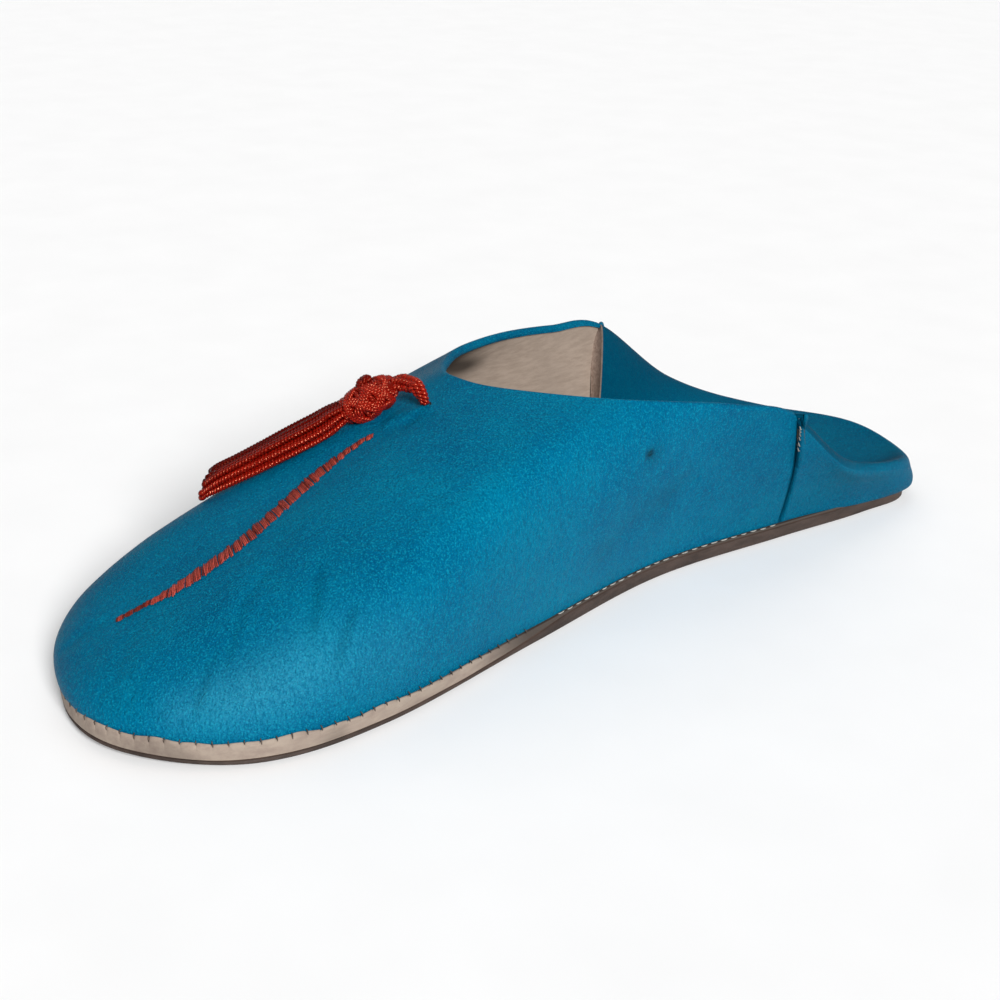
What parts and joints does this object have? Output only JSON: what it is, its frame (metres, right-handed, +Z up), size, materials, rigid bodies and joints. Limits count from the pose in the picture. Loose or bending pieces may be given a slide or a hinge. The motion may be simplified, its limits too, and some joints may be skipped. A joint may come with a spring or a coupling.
{
  "type": "babouche slipper",
  "caption": "Soft leather babouche slipper for the right foot, backless with its heel counter trodden down, thin stitched sole and a cord tassel on the vamp.",
  "frame": {"origin": "bottom centre of the slipper's box, on the floor it stands on", "axes": "+Z up, +Y towards the heel, -Y towards the toe, +X towards the inner side of the foot"},
  "size_m": [0.09, 0.27, 0.0625],
  "materials": {
    "sole_leather": "dark brown, waxed edge, matt and scuffed underneath",
    "rand_leather": "pale undyed leather, satin",
    "upper_leather": "turquoise full grain with a soft sheen",
    "lining_leather": "pale pinkish beige, matt",
    "tassel_cord": "red twisted silky cord"
  },
  "bodies": {
    "root": {"outsole": "sole_leather", "midsole": "rand_leather", "upper": "upper_leather", "insole": "lining_leather", "tassel": "tassel_cord"}
  },
  "joints": []
}
